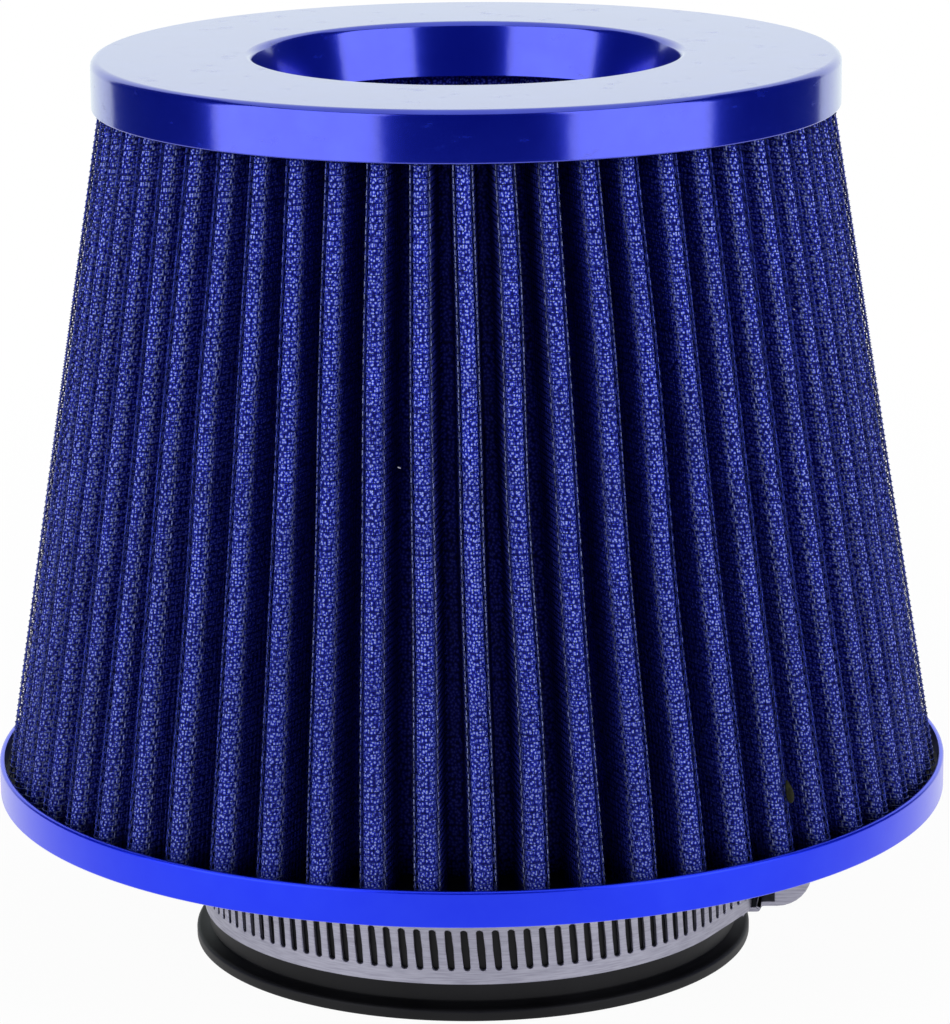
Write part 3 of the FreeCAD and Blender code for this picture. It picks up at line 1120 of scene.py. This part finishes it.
@dataclass
class HoseClamp:
    """Worm-drive hose clamp: slotted band, saddle, housing and screw."""

    seat: float = 42.35
    sheet: float = 0.7
    foot: float = 5.5
    width: float = 10.8
    slot_length: float = 6.4
    slot_width: float = 1.2
    slot_lean: float = 0.55
    slot_count: int = 56
    flats: int = 112
    saddle_flats: int = 4
    rise_flats: int = 5
    saddle_thickness: float = 1.8
    tail_flats: int = 11
    tail_slot_count: int = 4
    tail_gap: float = 0.1
    edge_round: float = 0.1
    housing_length: float = 15.0
    housing_radius: float = 5.4
    housing_round: float = 0.55
    side_clearance: float = 0.25
    top_clearance: float = 0.2
    tab_reach: float = 0.5
    tab_proud: float = 0.04
    tab_round: float = 0.2
    worm_crest: float = 3.3
    worm_root: float = 2.5
    worm_clearance: float = 0.3
    tooth_sunk: float = 0.1
    tooth_start: float = 0.4
    tooth_crest: tuple[float, float] = (0.26, 0.46)
    tooth_base: float = 0.72
    worm_end: float = 1.2
    worm_facets: int = 24
    head_flats: float = 7.0
    head_height: float = 4.6
    head_round: float = 0.35
    screw_sharp: float = 28.0
    driver_width: float = 1.2
    driver_depth: float = 1.8

    @property
    def middle(self) -> float:
        """Height of the band's middle line."""
        return self.foot + self.width / 2

    @property
    def pitch(self) -> float:
        """Angle of one flat."""
        return math.tau / self.flats

    @property
    def half_width(self) -> float:
        """Half the width of the saddle and the housing's feet."""
        return self.width / 2 + self.side_clearance + self.sheet

    @property
    def tail_inside(self) -> float:
        """Inner radius of the loose tail."""
        return self.seat + self.saddle_thickness + self.tail_gap

    @property
    def foot_line(self) -> float:
        """Distance of the housing's feet from the filter's axis, where its ends meet the saddle's curve."""
        return math.sqrt((self.seat + self.saddle_thickness) ** 2 - (self.housing_length / 2) ** 2)

    @property
    def axis(self) -> float:
        """Distance of the screw's axis from the filter's axis."""
        return self.tail_inside + self.sheet + self.worm_clearance + self.worm_crest

    def inside_at(self, turn: float) -> float:
        """Radius of the strip's inner face at an angle, with the straight rise to the saddle.

        Args:
            turn: Angle from the screw in radians.

        Returns:
            The radius.
        """
        low = -self.pitch * (self.saddle_flats + self.rise_flats)
        high = -self.pitch * self.saddle_flats
        if turn <= low:
            return self.seat
        if turn >= high:
            return self.tail_inside
        start = Vector((self.seat * math.cos(low), self.seat * math.sin(low)))
        run = Vector((self.tail_inside * math.cos(high), self.tail_inside * math.sin(high))) - start
        ray = Vector((math.cos(turn), math.sin(turn)))
        return (start.x * run.y - start.y * run.x) / (ray.x * run.y - ray.y * run.x)

    def on_joint(self, verts: list[bmesh.types.BMVert], span: float) -> bool:
        """Whether vertices of a flat panel all lie where it joins the next one."""
        return all(abs(abs(vert.co.x) - span / 2) < ON_RIM_MM for vert in verts)

    def on_rim(self, edge: bmesh.types.BMEdge, span: float) -> bool:
        """Whether an edge lies on the outer rim of a flat panel."""
        along = all(abs(abs(vert.co.y) - self.width / 2) < ON_RIM_MM for vert in edge.verts)
        return along or self.on_joint(edge.verts, span)

    def panel(self, bm: Mesh, number: int, slotted: bool) -> None:
        """Adds one flat's length of the strip, open at its joints and bent to the strip's line.

        Args:
            bm: Mesh that takes the panel.
            number: The flat's number, counted from the screw.
            slotted: Whether the flat has a slot.
        """
        span = self.seat * self.pitch
        part = bmesh.new()
        plate = bmesh.ops.create_grid(part, x_segments=2, y_segments=4, size=0.5)["verts"]
        bmesh.ops.scale(part, vec=(span, self.width, 1), verts=plate)
        if slotted:
            self.cut_slot(part, span)
        solid = bmesh.ops.extrude_face_region(part, geom=part.faces[:])["geom"]
        bmesh.ops.translate(part, vec=(0, 0, self.sheet), verts=verts_in(solid))
        if slotted:
            bevel(part, [e for e in bends(part, SHARP_BEND) if not self.on_rim(e, span)], self.edge_round, 1)
        joint_walls = [face for face in part.faces if self.on_joint(face.verts, span)]
        bmesh.ops.delete(part, geom=joint_walls, context="FACES_ONLY")
        for vert in part.verts:
            turn = vert.co.x / self.seat + self.pitch * (number + 0.5)
            radius = self.inside_at(turn) + vert.co.z
            vert.co = (radius * math.cos(turn), radius * math.sin(turn), self.middle + vert.co.y)
        mesh = bpy.data.meshes.new("panel")
        part.to_mesh(mesh)
        part.free()
        bm.from_mesh(mesh)
        bpy.data.meshes.remove(mesh)

    def cut_slot(self, part: Mesh, span: float) -> None:
        """Replaces a flat panel's faces by a frame round a leaning slot.

        Args:
            part: Mesh of the flat panel.
            span: The panel's length.
        """
        bmesh.ops.delete(part, geom=part.faces[:], context="FACES_ONLY")
        loose = [edge for edge in part.edges if not self.on_rim(edge, span)]
        bmesh.ops.delete(part, geom=loose, context="EDGES")
        rim = part.edges[:]
        ring = bmesh.ops.create_circle(part, segments=12, radius=self.slot_width / 2)["verts"]
        stretch = (self.slot_length - self.slot_width) / 2
        for vert in ring:
            vert.co.y += math.copysign(stretch, vert.co.y) if abs(vert.co.y) > 1e-6 else 0
            vert.co.x -= self.slot_lean * vert.co.y / self.slot_length
        slot = [edge for edge in part.edges if edge not in set(rim)]
        bmesh.ops.bridge_loops(part, edges=rim + slot)

    def build_band(self) -> Piece:
        """Makes the strip, its rise to the saddle and its loose tail.

        Returns:
            The strip.
        """
        bm = bmesh.new()
        for number in range(self.saddle_flats - self.flats, self.tail_flats):
            back = -self.saddle_flats - number
            end = self.tail_flats - 1 - number
            self.panel(bm, number, 1 <= back <= self.slot_count or 1 <= end <= self.tail_slot_count)
        bmesh.ops.remove_doubles(bm, verts=bm.verts, dist=NEAR_MM)
        bmesh.ops.holes_fill(bm, edges=[edge for edge in bm.edges if edge.is_boundary])
        piece = finished(bm, "clamp_strip", STRIP_STEEL, FILTER_BODY)
        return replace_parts(piece, "clamp_band")

    def build_saddle(self) -> Piece:
        """Makes the curved plate between the band's ends.

        Returns:
            The saddle.
        """
        reach = self.pitch * self.saddle_flats
        bm = bmesh.new()
        section = bmesh.ops.create_grid(bm, x_segments=1, y_segments=1, size=0.5)["verts"]
        for vert in section:
            radius = self.seat + self.saddle_thickness * (vert.co.x + 0.5)
            vert.co = (radius, 0, self.middle + 2 * self.half_width * vert.co.y)
        bmesh.ops.rotate(bm, cent=ORIGIN, matrix=Matrix.Rotation(-reach, 3, "Z"), verts=section)
        bmesh.ops.spin(bm, geom=bm.faces[:], cent=ORIGIN, axis=UP, angle=2 * reach, steps=24)
        bevel(bm, bends(bm, SHARP_BEND), self.edge_round, 2)
        piece = finished(bm, "clamp_saddle_plate", STRIP_STEEL, FILTER_BODY)
        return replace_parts(piece, "clamp_saddle")

    def build_housing(self) -> Piece:
        """Bends the housing over the screw and closes its blind end with a half-round tab.

        Returns:
            The housing.
        """
        shoulder = self.tail_inside + self.sheet + self.top_clearance + self.sheet
        barrel = self.housing_radius
        start = -self.housing_length / 2
        bm = bmesh.new()
        steps = ((self.foot_line, self.half_width), (shoulder, self.half_width), (shoulder, barrel))
        rise = [bm.verts.new((x, start, self.middle + z)) for x, z in (*steps, (self.axis, barrel))]
        for pair in zip(rise, rise[1:]):
            bm.edges.new(pair)
        arc = bmesh.ops.spin(
            bm,
            geom=[rise[-1]],
            cent=(self.axis, start, self.middle),
            axis=(0, 1, 0),
            angle=math.pi,
            steps=16,
        )
        fall = [verts_in(arc["geom_last"])[0]]
        fall += [bm.verts.new((x, start, self.middle - z)) for x, z in reversed(steps)]
        for pair in zip(fall, fall[1:]):
            bm.edges.new(pair)
        wall = bmesh.ops.extrude_edge_only(bm, edges=bm.edges[:])["geom"]
        bmesh.ops.translate(bm, vec=(0, self.housing_length, 0), verts=verts_in(wall))
        bevel(bm, bends(bm, SLIGHT_BEND), self.housing_round, 4)
        bmesh.ops.recalc_face_normals(bm, faces=bm.faces)
        if max(bm.faces, key=lambda face: face.calc_center_median().x).normal.x < 0:
            bmesh.ops.reverse_faces(bm, faces=bm.faces[:])
        bmesh.ops.solidify(bm, geom=bm.faces[:], thickness=self.sheet)
        self.add_end_tab(bm, start)
        piece = finished(bm, "clamp_housing_shell", STRIP_STEEL, FILTER_BODY)
        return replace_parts(piece, "clamp_housing")

    def add_end_tab(self, bm: Mesh, start: float) -> None:
        """Closes the housing's blind end with a half-round tab that lies over the barrel's edge.

        Args:
            bm: Mesh of the housing.
            start: Place of the blind end along Y.
        """
        tab = bmesh.ops.create_circle(bm, cap_ends=True, segments=48, radius=self.housing_radius)["verts"]
        bmesh.ops.rotate(bm, cent=ORIGIN, matrix=Matrix.Rotation(math.pi / 2, 3, "X"), verts=tab)
        bmesh.ops.translate(bm, vec=(self.axis, start + self.sheet, self.middle), verts=tab)
        edges = list({edge for vert in tab for edge in vert.link_edges})
        faces = list({face for vert in tab for face in vert.link_faces})
        cutoff = bmesh.ops.bisect_plane(
            bm,
            geom=tab + edges + faces,
            plane_co=(self.axis - self.tab_reach, 0, 0),
            plane_no=(-1, 0, 0),
            clear_outer=True,
        )
        disc = [item for item in cutoff["geom"] if isinstance(item, bmesh.types.BMFace)]
        pushed = bmesh.ops.extrude_face_region(bm, geom=disc)["geom"]
        bmesh.ops.translate(bm, vec=(0, -self.sheet - self.tab_proud, 0), verts=verts_in(pushed))
        rim = [e for e in bm.edges if all(abs(v.co.y - start + self.tab_proud) < 0.001 for v in e.verts)]
        bevel(bm, rim, self.tab_round, 2)

    def add_rod(self, bm: Mesh, radius: float, sides: int, low: float, high: float) -> None:
        """Adds a round or many-sided rod along the screw's axis.

        Args:
            bm: Mesh that takes the rod.
            radius: Radius to its corners.
            sides: Number of its sides.
            low: Place of its first end along Y.
            high: Place of its second end along Y.
        """
        rod = bmesh.ops.create_cone(
            bm, cap_ends=True, segments=sides, radius1=radius, radius2=radius, depth=high - low
        )["verts"]
        bmesh.ops.rotate(bm, cent=ORIGIN, matrix=Matrix.Rotation(-math.pi / 2, 3, "X"), verts=rod)
        bmesh.ops.translate(bm, vec=(0, (high + low) / 2, 0), verts=rod)

    def build_screw(self) -> Piece:
        """Makes the worm with its thread and the hexagon head with its driver slot.

        Returns:
            The screw.
        """
        start = self.sheet - self.housing_length / 2 + self.worm_clearance
        head = self.housing_length / 2 + self.worm_clearance
        end = head + self.head_height
        bm = bmesh.new()
        self.add_rod(bm, self.worm_root, 32, start, head)
        lead = self.pitch * (self.seat + self.sheet)
        turns = int((head - start - self.worm_end) / lead)
        base = self.worm_root - self.tooth_sunk
        first = start + self.tooth_start
        crests = [(self.worm_crest, share) for share in self.tooth_crest]
        corners = [(base, 0.0), *crests, (base, self.tooth_base)]
        tooth = bm.faces.new([bm.verts.new((radius, first + lead * share, 0)) for radius, share in corners])
        bmesh.ops.spin(
            bm,
            geom=[tooth],
            cent=ORIGIN,
            axis=(0, 1, 0),
            dvec=(0, lead / self.worm_facets, 0),
            angle=math.tau * turns,
            steps=self.worm_facets * turns,
        )
        self.add_rod(bm, self.head_flats / math.sqrt(3), 6, head, end)
        top = end_faces(bm, end - 0.1)
        bevel(bm, list({edge for face in top for edge in face.edges}), self.head_round, 2)
        self.cut_driver_slot(bm, end)
        bmesh.ops.translate(bm, vec=(self.axis, 0, self.middle), verts=bm.verts)
        crease = self.screw_sharp
        piece = finished(bm, "clamp_worm_screw", SCREW_STEEL, SCREW_BODY, sharp=crease)
        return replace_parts(piece, "clamp_screw")

    def cut_driver_slot(self, bm: Mesh, end: float) -> None:
        """Sinks a straight driver slot into the head's end face.

        Args:
            bm: Mesh of the screw, about its own axis along Y.
            end: Place of the head's end face along Y.
        """
        for side in (-1, 1):
            near = [f for f in bm.faces if f.calc_center_median().y > end - self.head_height + 0.2]
            parts = list({v for f in near for v in f.verts}) + list({e for f in near for e in f.edges}) + near
            edge = (0, 0, side * self.driver_width / 2)
            bmesh.ops.bisect_plane(bm, geom=parts, plane_co=edge, plane_no=UP)
        floor = [f for f in end_faces(bm, end - 0.05) if abs(f.calc_center_median().z) < 0.3]
        sunk = bmesh.ops.extrude_face_region(bm, geom=floor)["geom"]
        bmesh.ops.delete(bm, geom=floor, context="FACES_ONLY")
        bmesh.ops.translate(bm, vec=(0, -self.driver_depth, 0), verts=verts_in(sunk))

    def build(self) -> list[Piece]:
        """Makes the clamp's four pieces."""
        return [self.build_band(), self.build_saddle(), self.build_housing(), self.build_screw()]


@dataclass
class Studio:
    """Pale floor, two softboxes, a dark backdrop behind them and the camera of the photograph."""

    camera_place: tuple[float, float, float] = (0.0, -0.7031, 0.2443)
    pitch_down: float = 14.03
    roll: float = 0.48
    focal_px: float = 4595.3
    centre_px: tuple[float, float] = (469.7, 513.0)
    sensor_mm: float = 36.0
    boxes: tuple[tuple[str, float, float], ...] = (
        ("softbox_left", -52.5, 1.1),
        ("softbox_right", 53.5, 0.92),
    )
    box_distance: float = 1.05
    box_middle: float = 0.4
    box_height: float = 1.5
    box_light: float = 1.9
    sky: float = 0.48
    backdrop_radius: float = 1.3
    backdrop_turn: float = 134.0
    backdrop_span: tuple[float, float] = (-0.95, 1.65)
    backdrop_colour: str = "283A8E"
    mirror_colour: str = "F6FFFF"
    floor_radius: float = 0.5
    floor_fade: tuple[float, float] = (0.1, 0.45)
    floor_glow: tuple[float, float] = (0.96, 1.0)
    floor_colour: str = "F4F4F6"

    def camera(self) -> None:
        """Sets the camera where the photograph was taken."""
        lens = bpy.data.cameras.new("photo_camera")
        long_side = max(IMAGE_SIZE)
        lens.sensor_width = self.sensor_mm
        lens.lens = self.focal_px / long_side * lens.sensor_width
        lens.shift_x = (IMAGE_SIZE[0] / 2 - self.centre_px[0]) / long_side
        lens.shift_y = (self.centre_px[1] - IMAGE_SIZE[1] / 2) / long_side
        lens.clip_start = 0.01
        stand = bpy.data.objects.new("photo_camera", lens)
        tilt = Matrix.Rotation(math.radians(RIGHT_ANGLE - self.pitch_down), 4, "X")
        turn = Matrix.Rotation(math.radians(-self.roll), 4, "Z")
        stand.matrix_world = Matrix.Translation(self.camera_place) @ tilt @ turn
        bpy.context.scene.collection.objects.link(stand)
        bpy.context.scene.camera = stand

    def softbox(self, name: str, turn: float, width: float) -> None:
        """Stands a softbox that faces the filter.

        Args:
            name: Name of the light.
            turn: Direction from the object in degrees, from the camera's side towards the right.
            width: Width of the light in metres.
        """
        light = bpy.data.lights.new(name, "AREA")
        light.shape = "RECTANGLE"
        light.size, light.size_y = width, self.box_height
        light.energy = self.box_light * math.pi * light.size * light.size_y
        stand = bpy.data.objects.new(name, light)
        stand.matrix_world = (
            Matrix.Rotation(math.radians(turn), 4, "Z")
            @ Matrix.Translation((0, -self.box_distance, self.box_middle))
            @ Matrix.Rotation(math.radians(RIGHT_ANGLE), 4, "X")
        )
        bpy.context.scene.collection.objects.link(stand)

    def stage_piece(self, bm: Mesh, name: str, material: bpy.types.Material) -> Piece:
        """Makes a piece of the stage from a mesh and puts it in the scene.

        Args:
            bm: Mesh in metres, which is used up.
            name: Name of the piece.
            material: Its material.

        Returns:
            The piece.
        """
        mesh = bpy.data.meshes.new(name)
        bm.to_mesh(mesh)
        bm.free()
        mesh.materials.append(material)
        piece = bpy.data.objects.new(name, mesh)
        bpy.context.scene.collection.objects.link(piece)
        return piece

    def backdrop(self) -> None:
        """Stands a dark curved backdrop round the camera's side, which only reflections show."""
        bm = bmesh.new()
        ends = [bm.verts.new((0, -self.backdrop_radius, height)) for height in self.backdrop_span]
        edge = bm.edges.new(ends)
        half = math.radians(self.backdrop_turn)
        bmesh.ops.rotate(bm, cent=ORIGIN, matrix=Matrix.Rotation(-half, 3, "Z"), verts=ends)
        bmesh.ops.spin(bm, geom=ends + [edge], cent=ORIGIN, axis=UP, angle=2 * half, steps=64)
        cloth = blank_material("dark_blue_backdrop")
        tree = cloth.node_tree
        dark = add_node(tree, "Emission", {"Color": linear(self.backdrop_colour), "Strength": 1.0})
        add_node(tree, "OutputMaterial", {"Surface": dark.outputs["Emission"]})
        wall = self.stage_piece(bm, "dark_backdrop", cloth)
        wall.visible_camera = False
        wall.visible_diffuse = False
        wall.visible_shadow = False

    def floor(self) -> None:
        """Lays a pale round floor that fades to white at its rim and keeps a soft shadow."""
        bm = bmesh.new()
        bmesh.ops.create_circle(bm, cap_ends=True, segments=96, radius=self.floor_radius)
        paper = blank_material("white_paper")
        tree = paper.node_tree
        place = place_of(tree, "Object")
        away = add_node(tree, "VectorMath", {0: place}, operation="LENGTH").outputs["Value"]
        fade = spread(tree, away, self.floor_fade, self.floor_glow)
        amount = combined(tree, fade, self.seen_rays(tree), "MULTIPLY")
        matt = add_node(tree, "BsdfDiffuse", {"Color": linear(self.floor_colour)}).outputs["BSDF"]
        glow = add_node(tree, "Emission", {"Color": linear(WHITE), "Strength": 1.0}).outputs["Emission"]
        mix = add_node(tree, "MixShader", {0: amount, 1: matt, 2: glow})
        add_node(tree, "OutputMaterial", {"Surface": mix.outputs["Shader"]})
        ground = self.stage_piece(bm, "floor", paper)

    def seen_rays(self, tree: Tree) -> Socket:
        """Tells the rays that show the stage from the light that falls on things.

        Args:
            tree: Node tree of a material or the world.

        Returns:
            A share of 1 for camera, mirror and see-through rays, and of 0 for the others.
        """
        path = add_node(tree, "LightPath", {}).outputs
        mirror = combined(tree, path["Is Camera Ray"], path["Is Glossy Ray"], "MAXIMUM")
        return combined(tree, mirror, path["Is Transmission Ray"], "MAXIMUM")

    def surround(self) -> None:
        """Makes the white surround that the camera and reflections see, with less light from it."""
        world = bpy.data.worlds.new("white_surround")
        world.use_nodes = True
        tree = world.node_tree
        tree.nodes.clear()
        strength = spread(tree, self.seen_rays(tree), (0.0, 1.0), (self.sky, 1.0))
        glossy = add_node(tree, "LightPath", {}).outputs["Is Glossy Ray"]
        tints = {0: glossy, 6: linear(WHITE), 7: linear(self.mirror_colour)}
        tint = add_node(tree, "Mix", tints, data_type="RGBA").outputs[2]
        light = add_node(tree, "Background", {"Color": tint, "Strength": strength})
        add_node(tree, "OutputWorld", {"Surface": light.outputs["Background"]})
        bpy.context.scene.world = world

    def build(self) -> None:
        """Sets the camera, the lights, the backdrop, the floor and the surround."""
        bpy.context.scene.view_settings.view_transform = "Standard"
        self.camera()
        for name, turn, width in self.boxes:
            self.softbox(name, turn, width)
        self.backdrop()
        self.floor()
        self.surround()


@dataclass
class WearMarks:
    """Small marks on the pleats: a dried drop of oil and two flecks of lint."""

    drop_turn: float = -49.6
    drop_height: float = 39.6
    drop_radius: float = 72.25
    drop_half: tuple[float, float, float] = (0.3, 0.95, 2.0)
    drop_taper: float = 0.6
    drop_lean: float = 18.0
    lint_places: tuple[tuple[float, float, float], ...] = ((-99.2, 62.9, 90.9), (-37.3, 60.6, 108.4))
    lint_half: tuple[float, float, float] = (0.1, 0.28, 0.12)
    lint_lean: float = -20.0

    def place(self, bm: Mesh, verts: list, lean: float, turn: float, radius: float, height: float) -> None:
        """Leans vertices about the outward direction and sets them on the filter.

        Args:
            bm: Mesh that holds the vertices.
            verts: Vertices about the origin, with X outwards.
            lean: Turn about the outward direction in degrees.
            turn: Direction from the filter's axis in degrees.
            radius: Distance from the filter's axis.
            height: Height above the floor.
        """
        bmesh.ops.rotate(bm, cent=ORIGIN, matrix=Matrix.Rotation(math.radians(lean), 3, "X"), verts=verts)
        bmesh.ops.translate(bm, vec=(radius, 0, height), verts=verts)
        bmesh.ops.rotate(bm, cent=ORIGIN, matrix=Matrix.Rotation(math.radians(turn), 3, "Z"), verts=verts)

    def build_drop(self) -> Piece:
        """Makes the drop: a flattened ball that narrows upwards.

        Returns:
            The drop.
        """
        bm = bmesh.new()
        ball = bmesh.ops.create_uvsphere(bm, u_segments=24, v_segments=16, radius=1.0)["verts"]
        for vert in ball:
            vert.co.y *= 1 - self.drop_taper * (vert.co.z + 1) / 2
        bmesh.ops.scale(bm, vec=self.drop_half, verts=ball)
        self.place(bm, ball, self.drop_lean, self.drop_turn, self.drop_radius, self.drop_height)
        return finished(bm, "oil_drop", OIL, FILTER_BODY, sharp=ALL_SMOOTH)

    def build_lint(self) -> Piece:
        """Makes the flecks of lint.

        Returns:
            The flecks, as one piece.
        """
        bm = bmesh.new()
        for turn, radius, height in self.lint_places:
            fleck = bmesh.ops.create_icosphere(bm, subdivisions=2, radius=1.0)["verts"]
            bmesh.ops.scale(bm, vec=self.lint_half, verts=fleck)
            self.place(bm, fleck, self.lint_lean, turn, radius, height)
        return finished(bm, "lint_flecks", LINT, FILTER_BODY, sharp=ALL_SMOOTH)

    def build(self) -> list[Piece]:
        """Makes the marks."""
        return [self.build_drop(), self.build_lint()]


def dress_frame(name: str, finish: Finish) -> None:
    """Gives a CAD node that stays in view its finish.

    Args:
        name: Name of the node.
        finish: Surface finish.
    """
    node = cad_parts[name]
    node.data.materials.clear()
    node.data.materials.append(finish.material())
    LOG.info("%s: finish %s", name, finish.name)


def main() -> None:
    """Builds the studio, then every sub-assembly."""
    logging.basicConfig(level=logging.INFO, format="%(name)s: %(message)s")
    Studio().build()
    CapPressing().build()
    BaseBand().build()
    RubberNeck().build()
    PleatPack(
        name="outer_pleats",
        node="pleated_media",
        count=56,
        foot=28.4,
        head=135.8,
        foot_tip=73.85,
        head_tip=56.55,
        depth=15.0,
        foot_width=3.8,
        head_width=2.9,
        cloth=0.8,
        covering=Covering.NETTED,
        wander=0.22,
        twist_foot=1.2,
        twist_head=-0.7,
        seed=11,
    ).build()
    PleatPack(
        name="inner_pleats",
        node="inner_cone_media",
        count=24,
        foot=80.8,
        head=135.8,
        foot_tip=21.0,
        head_tip=39.5,
        depth=5.0,
        foot_width=2.6,
        head_width=2.6,
        cloth=0.8,
        covering=Covering.BARE,
        wander=0.1,
        twist_foot=0.0,
        twist_head=0.0,
        seed=5,
    ).build()
    ConePlug().build()
    HoseClamp().build()
    WearMarks().build()
    dress_frame("top_potting", SEALANT)


if __name__ == "__main__":
    main()
